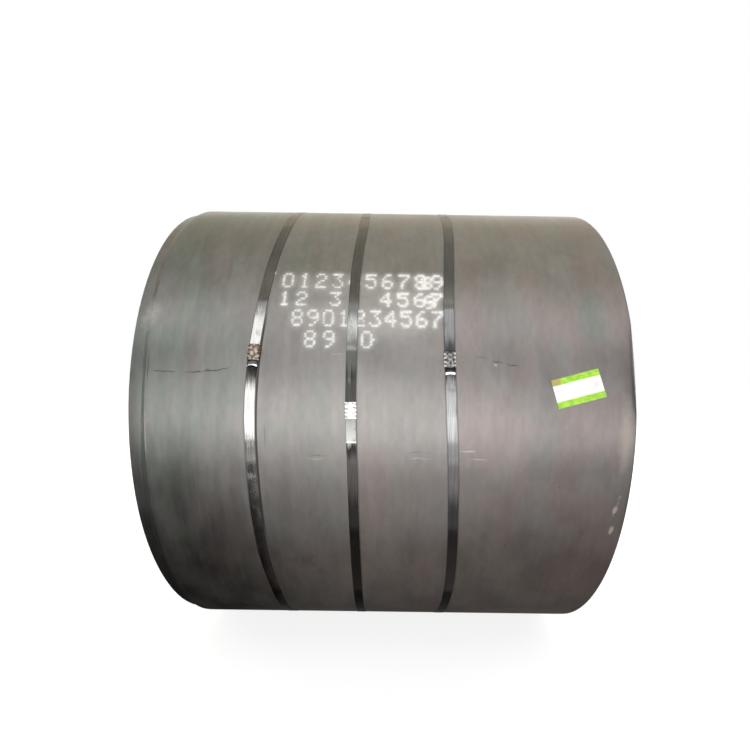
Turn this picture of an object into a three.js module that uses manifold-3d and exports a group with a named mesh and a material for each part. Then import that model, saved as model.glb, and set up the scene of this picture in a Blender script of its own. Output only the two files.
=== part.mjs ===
// Hot-rolled steel coil, lying on its side: one long strip wound on itself, three steel straps
// with crimped seals round the outside, and a paper label. Millimetres, +Z up.
// The coil's axis is along X. The origin is on the ground, under the middle of the coil.

import * as THREE from 'three';
import { mergeVertices } from 'three/addons/utils/BufferGeometryUtils.js';
import Module from 'manifold-3d';

const wasm = await Module();
wasm.setup();

// ---- driving dimensions -------------------------------------------------------------------

const coil = {
  outerDiameter: 1810, // mean of the spiral
  boreDiameter: 762, // mean of the spiral, from a 30 inch mandrel
  stripWidth: 1500,
  stripThickness: 7.75,
  tailAngle: 315, // the strip's outer end, low at the back
  headAngle: 40, // the strip's inner end, in the bore
  wrapShifts: [49, 33], // how far the two outermost wraps lie to the right of the rest
  tailLap: 8, // degrees that a wrap runs on, under its own start
};

const telescoping = {
  bands: 12, // groups of turns that lie to one side together
  depth: 9, // the most that a band lies to the right of the outermost one
  unevenness: 0.3, // how much the bands' widths differ
};

const strap = {
  width: 32,
  thickness: 0.9,
  ramp: 2, // degrees over which the upper end climbs over the lower end
};

const seal = {
  width: 38,
  length: 50,
  wall: 1.1,
  cornerRadius: 1,
  slit: 3, // between the two legs, underneath
  notches: 4, // crimped into each side
  notchDepth: 2,
  notchLength: 4.5,
};

// Angles are degrees round the axis: 90 is the top, 180 the front, 270 the ground.
// No strap lies quite straight: its middle line goes through the points [angle, x].
// Its two ends lap at its seal: their distances are along the strap from the seal's middle.
const straps = [
  {
    name: 'left',
    line: [[118, -352], [140, -372], [165, -398], [180, -397], [200, -387], [215, -374], [330, -360]],
    sealAngle: 158.1,
    upperEndBelow: 40,
    lowerEndAbove: 176,
  },
  {
    name: 'middle',
    line: [[118, -79], [140, -92], [168, -94], [182, -87], [215, -80], [330, -80]],
    sealAngle: 169.2,
    upperEndBelow: 99,
    lowerEndAbove: 175,
  },
  {
    name: 'right',
    line: [[118, 228], [147, 206.5], [163, 208.5], [182, 223.5], [205, 241], [215, 244], [330, 232]],
    sealAngle: 159.1,
    upperEndBelow: 43,
    lowerEndAbove: 164,
  },
];

const label = { width: 150, height: 90, thickness: 0.3, x: 597, angle: 164.4, tilt: 15.4 };

const gap = 0.3; // clearance between pieces that touch
const bite = 0.1; // how far a wrap and what lies inside it run into each other
const segments = 90; // facets round the coil, one of them level on the ground

// ---- geometry helpers ---------------------------------------------------------------------

const facetAngle = 360 / segments;
const firstCorner = 270 - facetAngle / 2;
const cornerAngles = Array.from({ length: segments }, (_, i) => firstCorner + i * facetAngle);
const turnsBetween = (from, angle) => ((((angle - from) / 360) % 1) + 1) % 1;

function polar(angle, radius) {
  const radians = THREE.MathUtils.degToRad(angle);
  return new THREE.Vector2(radius * Math.cos(radians), radius * Math.sin(radians));
}

const angleOf = (y, z) => (THREE.MathUtils.radToDeg(Math.atan2(z, y)) + 360) % 360;

const raised = (point, height) => point.clone().setLength(point.length() + height);

function toManifold(geometry) {
  geometry.deleteAttribute('normal');
  geometry.deleteAttribute('uv');
  const merged = mergeVertices(geometry);
  return new wasm.Manifold(new wasm.Mesh({
    numProp: 3,
    vertProperties: new Float32Array(merged.attributes.position.array),
    triVerts: new Uint32Array(merged.index.array),
  }));
}

function toGeometry(solid) {
  const mesh = solid.getMesh();
  const geometry = new THREE.BufferGeometry();
  geometry.setAttribute('position', new THREE.Float32BufferAttribute(mesh.vertProperties, 3));
  geometry.setIndex(Array.from(mesh.triVerts));
  geometry.computeVertexNormals();
  return geometry;
}

// Turns x, y, z into Y, Z, X: what is drawn flat and extruded then lies across the coil's axis.
const alongAxis = new THREE.Matrix4().set(0, 0, 1, 0, 1, 0, 0, 0, 0, 1, 0, 0, 0, 0, 0, 1);
// Turns y, z, x into X, Y, Z: what is turned round y is then turned round the coil's axis.
const roundAxis = new THREE.Matrix4().set(0, 1, 0, 0, 0, 0, 1, 0, 1, 0, 0, 0, 0, 0, 0, 1);

function extrudeAlongAxis(shape, fromX, toX) {
  const geometry = new THREE.ExtrudeGeometry(shape, { depth: toX - fromX, bevelEnabled: false });
  return geometry.applyMatrix4(alongAxis).translate(fromX, 0, 0);
}

// ---- the strip's spiral -------------------------------------------------------------------

// Followed from its start at one of the strip's ends, a surface of the strip comes in by one
// thickness over a turn.
const radiusAfter = (meanDiameter, turned) =>
  meanDiameter / 2 + coil.stripThickness * (0.5 - turned / 360);

const outerRadius = (angle) =>
  radiusAfter(coil.outerDiameter, 360 * turnsBetween(coil.tailAngle, angle));

// One turn of such a surface, closed by the step at its ends: a point at each facet's corner.
// It may start some way along the strip, and lie above or below the strip's surface.
function spiralOutline(meanDiameter, stripEndAngle, { raise = 0, startAfter = 0 } = {}) {
  const corners = cornerAngles
    .map((angle) => startAfter + 360 * turnsBetween(stripEndAngle + startAfter, angle))
    .sort((a, b) => a - b);
  return [startAfter, ...corners, startAfter + 360]
    .map((turned) => polar(stripEndAngle + turned, radiusAfter(meanDiameter, turned) + raise));
}

const outerOutline = (raise, startAfter) =>
  spiralOutline(coil.outerDiameter, coil.tailAngle, { raise, startAfter });

// ---- coil ---------------------------------------------------------------------------------

// An even spread of values between 0 and 1 that doesn't repeat.
const goldenSpread = (index, start) => (start + index * 0.618034) % 1;

// The turns as one turned ring: each band of them lies a little to one side, so that both ends
// have stairs.
function turnedBands(left, right) {
  const inside = coil.boreDiameter / 2 - 2 * coil.stripThickness;
  const outside = coil.outerDiameter / 2 + 2 * coil.stripThickness;
  const firstTurn = coil.boreDiameter / 2;
  const lastTurn = coil.outerDiameter / 2 - (coil.wrapShifts.length + 1.5) * coil.stripThickness;
  const meanBand = (lastTurn - firstTurn) / telescoping.bands;

  const bands = [];
  let radius = inside;
  for (let band = 0; band < telescoping.bands; band += 1) {
    const isOutermost = band === telescoping.bands - 1;
    const uneven = telescoping.unevenness * Math.sin(2.4 * band);
    const nextRadius = isOutermost ? outside : firstTurn + meanBand * (band + 1 + uneven);
    const shift = isOutermost ? 0 : telescoping.depth * goldenSpread(band, 0.25);
    bands.push({ radius, nextRadius, shift });
    radius = nextRadius;
  }

  const stair = (end) => bands.flatMap(({ radius: from, nextRadius: to, shift }) =>
    [new THREE.Vector2(from, end + shift), new THREE.Vector2(to, end + shift)]);
  const profile = [...stair(left), ...stair(right).reverse()];
  profile.push(profile[0].clone());
  return new THREE.LatheGeometry(profile, segments)
    .applyMatrix4(roundAxis)
    .rotateX(THREE.MathUtils.degToRad(firstCorner));
}

// The outermost wraps are rings of strip that lie to one side of the turned body inside them, so
// they leave steps at one end of the coil and overhang at the other.
function makeCoil() {
  const { boreDiameter, headAngle, stripThickness, stripWidth, tailLap, wrapShifts } = coil;
  const left = -(stripWidth + wrapShifts[0]) / 2;
  const right = left + stripWidth;
  const solid = (points, fromX, toX) =>
    toManifold(extrudeAlongAxis(new THREE.Shape(points), fromX, toX));
  const through = (points) => solid(points, -stripWidth, stripWidth);

  const bandsOutside = outerOutline(-wrapShifts.length * stripThickness);
  let wound = solid(bandsOutside, left, right + telescoping.depth)
    .intersect(toManifold(turnedBands(left, right)));
  wrapShifts.forEach((shift, wrapsOutside) => {
    const outerFace = outerOutline(-wrapsOutside * stripThickness);
    const innerFace = outerOutline(-(wrapsOutside + 1) * stripThickness - bite, tailLap);
    const wrap = solid(outerFace, left + shift, right + shift).subtract(through(innerFace));
    wound = wound.add(wrap);
  });
  return toGeometry(wound.subtract(through(spiralOutline(boreDiameter, headAngle))));
}

// ---- straps -------------------------------------------------------------------------------

const sealFoot = (angle) => outerRadius(angle) + gap;
const degreesAlong = (length) => THREE.MathUtils.radToDeg(length / (coil.outerDiameter / 2));

// The points on a convex outline that holds all of them, anticlockwise.
function convexHull(points) {
  const sorted = [...points].sort((a, b) => a.x - b.x || a.y - b.y);
  const turn = (o, a, b) => (a.x - o.x) * (b.y - o.y) - (a.y - o.y) * (b.x - o.x);
  const halfHull = (list) => {
    const chain = [];
    for (const point of list) {
      while (chain.length > 1 && turn(chain.at(-2), chain.at(-1), point) <= 0) chain.pop();
      chain.push(point);
    }
    return chain.slice(0, -1);
  };
  return [...halfHull(sorted), ...halfHull(sorted.reverse())];
}

// The line that a taut strap takes: straight from corner to corner, across the step at the
// strip's tail, and over the legs of its seal.
function tautLine(sealAngle) {
  const legs = seal.wall + gap;
  const normal = polar(sealAngle, 1);
  const along = polar(sealAngle + 90, 1);
  const overLegs = [-1, 1].map((side) => normal.clone()
    .multiplyScalar(sealFoot(sealAngle) + legs)
    .addScaledVector(along, side * (seal.length / 2 + gap)));
  const corners = convexHull([...outerOutline(gap), ...overLegs]);
  const angles = corners.map((point) => angleOf(point.x, point.y));

  function pointAt(angle) {
    const direction = polar(angle, 1);
    const i = corners.findIndex((_, k) => {
      const span = 360 * turnsBetween(angles[k], angles[(k + 1) % angles.length]);
      return 360 * turnsBetween(angles[k], angle) <= span;
    });
    const from = corners[i];
    const edge = corners[(i + 1) % corners.length].clone().sub(from);
    return from.clone().addScaledVector(edge, -from.cross(direction) / edge.cross(direction));
  }
  return { angles, pointAt };
}

// A smooth line round the coil through the points [angle, x]: how far along X it is at an angle.
function closedLine(points) {
  const twiceRound = [-360, 0, 360].flatMap((turn) => points.map(([angle, x]) => [angle + turn, x]));
  const line = new THREE.CubicInterpolant(
    twiceRound.map(([angle]) => angle), twiceRound.map(([, x]) => x), 1,
  );
  return (angle) => line.evaluate(angle)[0];
}

// A strap is one band: it starts under its own upper end, goes down the front, under the coil,
// up the back and over the top, and laps itself through the seal.
function makeStrap({ line, sealAngle, upperEndBelow, lowerEndAbove }) {
  const { angles, pointAt } = tautLine(sealAngle);
  const start = sealAngle - degreesAlong(lowerEndAbove);
  const end = sealAngle + 360 + degreesAlong(upperEndBelow);
  const lapStart = start + 360 - degreesAlong(4 * gap);
  const rampStart = lapStart - strap.ramp;
  const lapHeight = strap.thickness + gap;

  const stops = [...angles, ...angles.map((angle) => angle + 360)]
    .filter((angle) => angle > start + 0.01 && angle < end - 0.01)
    .concat([start, rampStart, lapStart, end])
    .sort((a, b) => a - b);
  const inner = stops.map((angle) => {
    const climb = THREE.MathUtils.clamp((angle - rampStart) / strap.ramp, 0, 1);
    return raised(pointAt(angle), climb * lapHeight);
  });
  const outer = inner.map((point) => raised(point, strap.thickness));
  const shape = new THREE.Shape([...inner, ...outer.slice().reverse()]);
  const lowest = Math.min(...outer.map((point) => point.y));

  const geometry = extrudeAlongAxis(shape, -strap.width / 2, strap.width / 2);
  const xAt = closedLine(line);
  const { position } = geometry.attributes;
  for (let i = 0; i < position.count; i += 1) {
    const angle = angleOf(position.getY(i), position.getZ(i));
    position.setX(i, position.getX(i) + xAt(angle));
  }
  return { geometry, lowest };
}

// ---- seals --------------------------------------------------------------------------------

// A sheet folded round both ends of the strap, its legs underneath, then crimped at its sides.
// Drawn across the strap, with y outwards, and extruded along the strap.
function makeSeal() {
  const height = 2 * seal.wall + 2 * strap.thickness + 3 * gap;
  const half = seal.width / 2;
  const halfInside = strap.width / 2 + gap;
  const r = seal.cornerRadius;
  const section = new THREE.Shape();
  section.moveTo(seal.slit / 2, 0);
  section.lineTo(half - r, 0);
  section.absarc(half - r, r, r, -Math.PI / 2, 0);
  section.absarc(half - r, height - r, r, 0, Math.PI / 2);
  section.absarc(r - half, height - r, r, Math.PI / 2, Math.PI);
  section.absarc(r - half, r, r, Math.PI, 1.5 * Math.PI);
  section.lineTo(-seal.slit / 2, 0);
  section.lineTo(-seal.slit / 2, seal.wall);
  section.lineTo(-halfInside, seal.wall);
  section.lineTo(-halfInside, height - seal.wall);
  section.lineTo(halfInside, height - seal.wall);
  section.lineTo(halfInside, seal.wall);
  section.lineTo(seal.slit / 2, seal.wall);
  const sleeve = new THREE.ExtrudeGeometry(section, {
    depth: seal.length, bevelEnabled: false, curveSegments: 3,
  }).translate(0, 0, -seal.length / 2);

  let solid = toManifold(sleeve);
  for (const side of [-1, 1]) {
    for (let i = 0; i < seal.notches; i += 1) {
      const middle = seal.length * ((i + 0.5) / seal.notches - 0.5);
      solid = solid.subtract(toManifold(notch(side, middle, half, height)));
    }
  }
  return toGeometry(solid);
}

// A three-cornered notch, seen from above the seal, through its whole height.
function notch(side, middle, halfWidth, height) {
  const throughHeight = height + 2;
  return new THREE.CylinderGeometry(1, 1, throughHeight, 4)
    .scale(seal.notchDepth, 1, seal.notchLength / 2)
    .translate(side * halfWidth, height / 2, middle);
}

// ---- label --------------------------------------------------------------------------------

// A sheet of paper on the outer surface: the part of a thin shell that its outline cuts out.
function makeLabel() {
  const outer = new THREE.Shape(convexHull(outerOutline(gap + label.thickness)));
  outer.holes.push(new THREE.Path(convexHull(outerOutline(gap))));
  const shell = extrudeAlongAxis(outer, label.x - label.width, label.x + label.width);
  const outline = new THREE.BoxGeometry(label.width, 4 * label.height, label.height)
    .rotateY(THREE.MathUtils.degToRad(label.tilt))
    .translate(0, outerRadius(label.angle), 0)
    .rotateX(THREE.MathUtils.degToRad(label.angle))
    .translate(label.x, 0, 0);
  return toGeometry(toManifold(shell).intersect(toManifold(outline)));
}

// ---- materials ----------------------------------------------------------------------------

const millScale = new THREE.MeshStandardMaterial({ color: 0x77736e, roughness: 0.55, metalness: 0.6 });
const bluedSteel = new THREE.MeshStandardMaterial({ color: 0x4a4c50, roughness: 0.3, metalness: 0.9 });
const sealSteel = new THREE.MeshStandardMaterial({ color: 0x6b5a4c, roughness: 0.45, metalness: 0.8 });
const paper = new THREE.MeshStandardMaterial({ color: 0xe8ecde, roughness: 0.7, metalness: 0 });

// ---- assembly -----------------------------------------------------------------------------

const onAxis = new THREE.Group();

function addPiece(name, geometry, material) {
  const piece = new THREE.Mesh(geometry, material);
  piece.name = name;
  onAxis.add(piece);
  return piece;
}

addPiece('coil', makeCoil(), millScale);

let lowestPoint = 0;
for (const placing of straps) {
  const { geometry, lowest } = makeStrap(placing);
  addPiece(`strap_${placing.name}`, geometry, bluedSteel);
  lowestPoint = Math.min(lowestPoint, lowest);

  const sealPiece = addPiece(`seal_${placing.name}`, makeSeal(), sealSteel);
  const foot = polar(placing.sealAngle, sealFoot(placing.sealAngle));
  const halfSpan = degreesAlong(seal.length / 2 + gap);
  const [xAbove, xBelow] = [-halfSpan, halfSpan]
    .map((span) => closedLine(placing.line)(placing.sealAngle + span));
  sealPiece.position.set((xAbove + xBelow) / 2, foot.x, foot.y);
  sealPiece.rotation.x = THREE.MathUtils.degToRad(placing.sealAngle);
  sealPiece.rotation.y = Math.atan2(xBelow - xAbove, seal.length);
}

addPiece('label', makeLabel(), paper);

// The coil stands on its straps, so the lowest of them touches the ground.
onAxis.position.z = -lowestPoint;

const steelCoil = new THREE.Group();
steelCoil.add(onAxis);

export default steelCoil;
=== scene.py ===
import math
import random

import bpy
import numpy as np
from mathutils import Matrix, Vector


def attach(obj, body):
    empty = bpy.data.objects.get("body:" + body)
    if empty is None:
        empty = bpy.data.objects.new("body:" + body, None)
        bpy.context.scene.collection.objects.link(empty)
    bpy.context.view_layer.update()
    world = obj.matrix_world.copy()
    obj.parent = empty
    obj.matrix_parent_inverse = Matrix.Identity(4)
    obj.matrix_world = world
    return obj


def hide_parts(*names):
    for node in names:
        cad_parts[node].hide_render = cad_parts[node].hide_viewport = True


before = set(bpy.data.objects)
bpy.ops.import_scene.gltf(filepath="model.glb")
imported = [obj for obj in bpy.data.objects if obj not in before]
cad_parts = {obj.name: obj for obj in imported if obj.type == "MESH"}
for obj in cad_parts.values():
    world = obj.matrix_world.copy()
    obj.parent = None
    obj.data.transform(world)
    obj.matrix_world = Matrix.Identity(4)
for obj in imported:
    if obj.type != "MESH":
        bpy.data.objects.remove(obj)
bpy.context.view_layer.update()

# Metres throughout, and degrees round the coil's axis: 90 is the top, 180 the front, 270 the floor.
# The axis runs along X at this height.
axisHeight = 0.9028


def deselectAll():
    if bpy.context.mode != "OBJECT":
        bpy.ops.object.mode_set(mode="OBJECT")
    bpy.ops.object.select_all(action="DESELECT")


def makeActive(obj):
    deselectAll()
    obj.select_set(True)
    bpy.context.view_layer.objects.active = obj


def startEdit(obj, kind="VERT", action="SELECT"):
    makeActive(obj)
    bpy.ops.object.mode_set(mode="EDIT")
    bpy.ops.mesh.select_mode(type=kind)
    bpy.ops.mesh.select_all(action=action)


def endEdit():
    bpy.ops.object.mode_set(mode="OBJECT")


def selectFaces(obj, wanted):
    # edit mode is on afterwards
    startEdit(obj, "FACE", "DESELECT")
    endEdit()
    for face in obj.data.polygons:
        face.select = wanted(face)
    bpy.ops.object.mode_set(mode="EDIT")


def selectEdges(obj, wanted):
    # the same for edges, each judged by the way from one of its ends to the other
    startEdit(obj, "EDGE", "DESELECT")
    endEdit()
    points = obj.data.vertices
    for edge in obj.data.edges:
        start, end = edge.vertices
        edge.select = wanted(points[end].co - points[start].co)
    bpy.ops.object.mode_set(mode="EDIT")


def addModifier(obj, kind, **values):
    modifier = obj.modifiers.new(kind.title(), kind)
    for name, value in values.items():
        setattr(modifier, name, value)
    makeActive(obj)
    bpy.ops.object.modifier_apply(modifier=modifier.name)


def joinParts(parts):
    makeActive(parts[0])
    for part in parts:
        part.select_set(True)
    bpy.ops.object.join()
    return parts[0]


def readPoints(obj):
    points = np.empty(len(obj.data.vertices) * 3)
    obj.data.vertices.foreach_get("co", points)
    return points.reshape(-1, 3)


def writePoints(obj, points):
    obj.data.vertices.foreach_set("co", np.asarray(points).ravel())
    obj.data.update()


def writeAttribute(obj, name, values):
    attribute = obj.data.attributes.new(name, "FLOAT", "POINT")
    attribute.data.foreach_set("value", values.astype(np.float32))


def addGrid(columns, rows):
    deselectAll()
    bpy.ops.mesh.primitive_grid_add(x_subdivisions=columns, y_subdivisions=rows, size=1)
    return bpy.context.object, readPoints(bpy.context.object)


def addRolledGrid(section, rows):
    # the last column of the grid goes back to the section's first point; returns each point's two
    # values from the section, and its share of the rows
    obj, flat = addGrid(len(section), rows)
    column = np.rint((flat[:, 0] + 0.5) * len(section)).astype(int) % len(section)
    first, second = np.array(section)[column].T
    return obj, first, second, flat[:, 1] + 0.5


def closeRoll(obj):
    # the long sides meet, and the two ends get a face each
    startEdit(obj)
    bpy.ops.mesh.remove_doubles(threshold=0.000001)
    bpy.ops.mesh.select_all(action="DESELECT")
    bpy.ops.mesh.select_mode(type="EDGE")
    bpy.ops.mesh.select_non_manifold()
    bpy.ops.mesh.fill_holes(sides=0)
    endEdit()


def faceOutwards(obj):
    startEdit(obj)
    bpy.ops.mesh.normals_make_consistent(inside=False)
    endEdit()


def smoothShade(obj, angle):
    makeActive(obj)
    bpy.ops.object.shade_smooth_by_angle(angle=math.radians(angle))


def finishPiece(obj, name, material, node=None):
    makeActive(obj)
    obj.name = obj.data.name = name
    bpy.ops.object.transform_apply(location=True, rotation=True, scale=True)
    obj.data.materials.clear()
    obj.data.materials.append(material)
    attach(obj, "root")
    if node:
        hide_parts(node)


def easeBetween(value, start, end):
    share = np.clip((value - start) / (end - start), 0, 1)
    return share * share * (3 - 2 * share)


def easeInOut(value, start, full, fade, end):
    return easeBetween(value, start, full) * easeBetween(value, end, fade)


coil = {
    "meanDiameter": 1.810,
    "boreDiameter": 0.762,
    "turns": 67.236,
    "stripWidth": 1.500,
    "stripThickness": 0.00775,
    "tailAngle": 315,  # the strip's outer end; from here it winds inwards as the angle rises
    "wrapShifts": (0.049, 0.033),  # how far the two outermost wraps lie to the right
    "wrapEase": 0.25,  # turns over which the strip gets from one of these to the next
    "bands": 12,  # groups of turns that lie to one side together
    "bandMargin": 3.5,  # thicknesses of strip outside the last band
    "bandShift": 0.009,
    "bandSpread": (0.25, 0.618034),  # the first one's share of it, and the golden section
    "bandUnevenness": (0.3, 2.4),  # of their widths: how much, and how fast it changes
    "bandRamp": 0.35,  # half a step between two bands, in thicknesses
    "wander": 0.0011,  # how far single turns stand out of their band
    "wanderSteps": 0.5,  # turns
    "edgeRound": 0.0018,  # the mill edge
    "secondWrap": (1.0, 1.03),  # turns over which the outermost wrap becomes the second one
    "marginDrop": 0.0009,  # the margins of the outermost wrap bend down a little
    "marginWidth": 0.016,
    "dentAngles": (151, 169.5),  # and here its right margin is bent in
    "dentDepth": 0.0075,
    "dentWidth": 0.014,
    "dentPowers": (0.7, 1.2),  # how blunt the dent is along the margin, and across it
    "waveAngle": 166,  # round here the two outermost wraps are a little narrower on the left
    "waveLength": 17,
    "waveDepths": (0.004, 0.011),
    "waveEnd": 2.3,  # turns
    "lowerAngles": (188, 225, 270, 310),  # low down these outer turns draw back on the left
    "lowerTurns": (1.9, 2.2, 7, 10),
    "lowerDepth": 0.007,
    "drawnReach": 0.06,  # all this fades with the distance from the left edge
    "endFaces": 0.85,  # a face belongs to an end where its normal has more than this along X
}

pitch = (coil["meanDiameter"] - coil["boreDiameter"]) / 2 / coil["turns"]


def stripRadius(turned):
    return coil["meanDiameter"] / 2 + coil["stripThickness"] / 2 - pitch * turned


def outerRadius(angle):
    return stripRadius((np.asarray(angle) - coil["tailAngle"]) / 360 % 1)


def onAxis(x, angle, radius):
    angle = np.radians(angle)
    x, y, z = np.broadcast_arrays(x, radius * np.cos(angle), axisHeight + radius * np.sin(angle))
    return np.stack([x, y, z], axis=-1)


def along(length):
    return math.degrees(length / (coil["meanDiameter"] / 2))


def bandStart(radius):
    # the same bands as the solid's, with a short ramp from one to the next
    number = np.arange(coil["bands"])
    first = coil["boreDiameter"] / 2
    last = coil["meanDiameter"] / 2 - coil["bandMargin"] * coil["stripThickness"]
    uneven, change = coil["bandUnevenness"]
    ends = first + (last - first) / coil["bands"] * (number + 1 + uneven * np.sin(change * number))
    share, spread = coil["bandSpread"]
    shifts = coil["bandShift"] * ((share + number * spread) % 1)
    shifts[-1] = 0
    ramp = coil["bandRamp"] * coil["stripThickness"]
    stops = np.stack([ends[:-1] - ramp, ends[:-1] + ramp], axis=1).ravel()
    values = np.stack([shifts[:-1], shifts[1:]], axis=1).ravel()
    return np.interp(radius, stops, values)


def stripLeft(turned):
    # the strip's left edge, along X
    wide, narrow = coil["wrapShifts"]
    inner = easeBetween(turned, 2, 2 + coil["wrapEase"])
    shift = wide - (wide - narrow) * easeBetween(turned, 1, 1 + coil["wrapEase"]) - narrow * inner
    hand = random.Random(11)
    knots = np.arange(0, coil["turns"] + 1, coil["wanderSteps"])
    wander = np.array([hand.uniform(-1, 1) for _ in knots]) * coil["wander"]
    wander = np.interp(turned, knots, wander) * easeBetween(turned, 1, 1.5)
    bands = bandStart(stripRadius(turned) - coil["stripThickness"] / 2) * inner
    left = -(coil["stripWidth"] + wide) / 2
    return left + np.maximum(shift + bands + wander, 0)


def marginSink(turned, across):
    # how far the outermost wrap's margins lie under its face
    toRight = coil["stripWidth"] - across
    toEdge = np.minimum(across, toRight)
    drop = coil["marginDrop"] * np.clip(1 - toEdge / coil["marginWidth"], 0, 1) ** 2
    start, end = coil["dentAngles"]
    lengthPower, widthPower = coil["dentPowers"]
    angle = coil["tailAngle"] + 360 * (turned - 1)
    dent = np.sin(np.pi * np.clip((angle - start) / (end - start), 0, 1)) ** lengthPower
    dent = dent * np.clip(1 - toRight / coil["dentWidth"], 0, 1) ** widthPower
    return (drop + coil["dentDepth"] * dent) * (1 - easeBetween(turned, *coil["secondWrap"]))


def drawnBack(turned, across):
    # how far the left part of the strip lies further right than it was wound
    angle = (coil["tailAngle"] + 360 * turned) % 360
    outerWave, secondWave = coil["waveDepths"]
    second = easeBetween(turned, *coil["secondWrap"])
    wave = outerWave * (1 - second) + secondWave * second * (turned < coil["waveEnd"])
    wave = wave * np.exp(-((angle - coil["waveAngle"]) / coil["waveLength"]) ** 2)
    lower = easeInOut(angle, *coil["lowerAngles"]) * easeInOut(turned, *coil["lowerTurns"])
    return (wave + coil["lowerDepth"] * lower) * np.exp(-across / coil["drawnReach"])


def stripSection(columns, cornerSteps):
    # points round the strip's cross-section: across from its left edge, and depth under its face
    width, thick, bend = coil["stripWidth"], coil["stripThickness"], coil["edgeRound"]
    corners = ((width - bend, bend, 90), (width - bend, thick - bend, 0),
               (bend, thick - bend, 270), (bend, bend, 180))
    section = [(bend + (width - 2 * bend) * (0.5 - 0.5 * math.cos(math.pi * i / columns)), 0.0)
               for i in range(columns)]
    for across, depth, start in corners:
        for step in range(cornerSteps + 1):
            turn = math.radians(start - 90 * step / cornerSteps)
            section.append((across + bend * math.cos(turn), depth - bend * math.sin(turn)))
    return section[:-1]


def windStrip(fromTurn, toTurn, stepsPerTurn, columns, cornerSteps):
    # a flat grid, rolled up across into the strip's section and wound along into the spiral
    rows = round((toTurn - fromTurn) * stepsPerTurn)
    strip, across, depth, share = addRolledGrid(stripSection(columns, cornerSteps), rows)
    turned = toTurn - share * (toTurn - fromTurn)
    x = stripLeft(turned) + across + drawnBack(turned, across)
    radius = stripRadius(turned) - depth - marginSink(turned, across)
    writePoints(strip, onAxis(x, coil["tailAngle"] + 360 * turned, radius))
    closeRoll(strip)
    return strip


def makeCoil(faceMaterial, edgeMaterial):
    strip = joinParts([
        windStrip(0, 1.04, 200, columns=30, cornerSteps=3),
        windStrip(1.04, 3.1, 130, columns=8, cornerSteps=2),
        windStrip(3.1, coil["turns"], 110, columns=1, cornerSteps=1),
    ])
    faceOutwards(strip)
    smoothShade(strip, 50)
    finishPiece(strip, "woundStrip", faceMaterial, "coil")
    # the faces that look along the axis have a finish of their own
    strip.data.materials.append(edgeMaterial)
    for face in strip.data.polygons:
        if abs(face.normal.x) > coil["endFaces"]:
            face.material_index = 1


strap = {
    "width": 0.032,
    "thickness": 0.0009,
    "clearance": 0.0001,
    "edgeRound": 0.00025,
    "ramp": (2, 0.1),  # degrees before the lower end, where the upper end starts and stops to climb
    "columns": 6,
    "steps": (0.4, 1.6),  # degrees, where it laps and between
    "between": (24, 350),  # degrees from its lower end
    "tautStep": 1.2,
}

seal = {
    "width": 0.038,
    "length": 0.050,
    "wall": 0.0011,
    "cornerRadius": 0.0011,
    "rows": 50,
    "columns": 31,
    "notches": 4,
    "notchLength": 0.0076,
    "notchReach": 0.0110,
    "notchDepth": 0.0021,
    "notchBase": 1.05,  # a notch's length at the very edge, in its lengths; inwards it tapers
    "stagger": 0.1,  # one side's notches against the other's, in lengths of a notch
    "pinch": 0.05,
    "bulge": 0.0005,
}

# A strap's middle line goes through the points (angle, x). Its upper end lies below the seal
# and its lower end above it, each so far from the seal's middle.
straps = {
    "left": {
        "line": ((118, -0.352), (140, -0.372), (165, -0.398), (180, -0.397), (200, -0.387),
                 (215, -0.374), (330, -0.360)),
        "sealAngle": 158.1,
        "crimp": 1.0,
        "upperEndBelow": 0.047,
        "lowerEndAbove": 0.176,
        "endLift": 0.0030,
        "endCrown": 0.0022,
        "endCurve": 0.0040,
    },
    "middle": {
        "line": ((118, -0.079), (140, -0.092), (168, -0.094), (182, -0.087), (215, -0.080),
                 (330, -0.080)),
        "sealAngle": 169.2,
        "crimp": 0.5,
        "upperEndBelow": 0.099,
        "lowerEndAbove": 0.175,
        "endLift": 0.0012,
        "endCrown": 0.0004,
        "endCurve": 0.0,
    },
    "right": {
        "line": ((118, 0.228), (147, 0.2065), (163, 0.2085), (182, 0.2235), (205, 0.241),
                 (215, 0.244), (330, 0.232)),
        "sealAngle": 159.1,
        "crimp": 1.0,
        "upperEndBelow": 0.049,
        "lowerEndAbove": 0.164,
        "endLift": 0.0030,
        "endCrown": 0.0020,
        "endCurve": 0.0032,
    },
}


def closedLine(points):
    # a smooth curve round the coil: x by angle
    count = len(points)
    at = np.array([angle + turn for turn in (-360, 0, 360) for angle, _ in points], float)
    value = np.tile([x for _, x in points], 3)
    slope = np.zeros(3 * count)
    slope[1:-1] = (value[2:] - value[:-2]) / (at[2:] - at[:-2])

    def line(angle):
        angle = (np.asarray(angle, float) - at[count]) % 360 + at[count]
        i = np.searchsorted(at, angle, side="right") - 1
        span = at[i + 1] - at[i]
        t = (angle - at[i]) / span
        return ((2 * t**3 - 3 * t**2 + 1) * value[i] + (t**3 - 2 * t**2 + t) * span * slope[i]
                + (3 * t**2 - 2 * t**3) * value[i + 1] + (t**3 - t**2) * span * slope[i + 1])

    return line


def cross(a, b):
    return a[..., 0] * b[..., 1] - a[..., 1] * b[..., 0]


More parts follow.
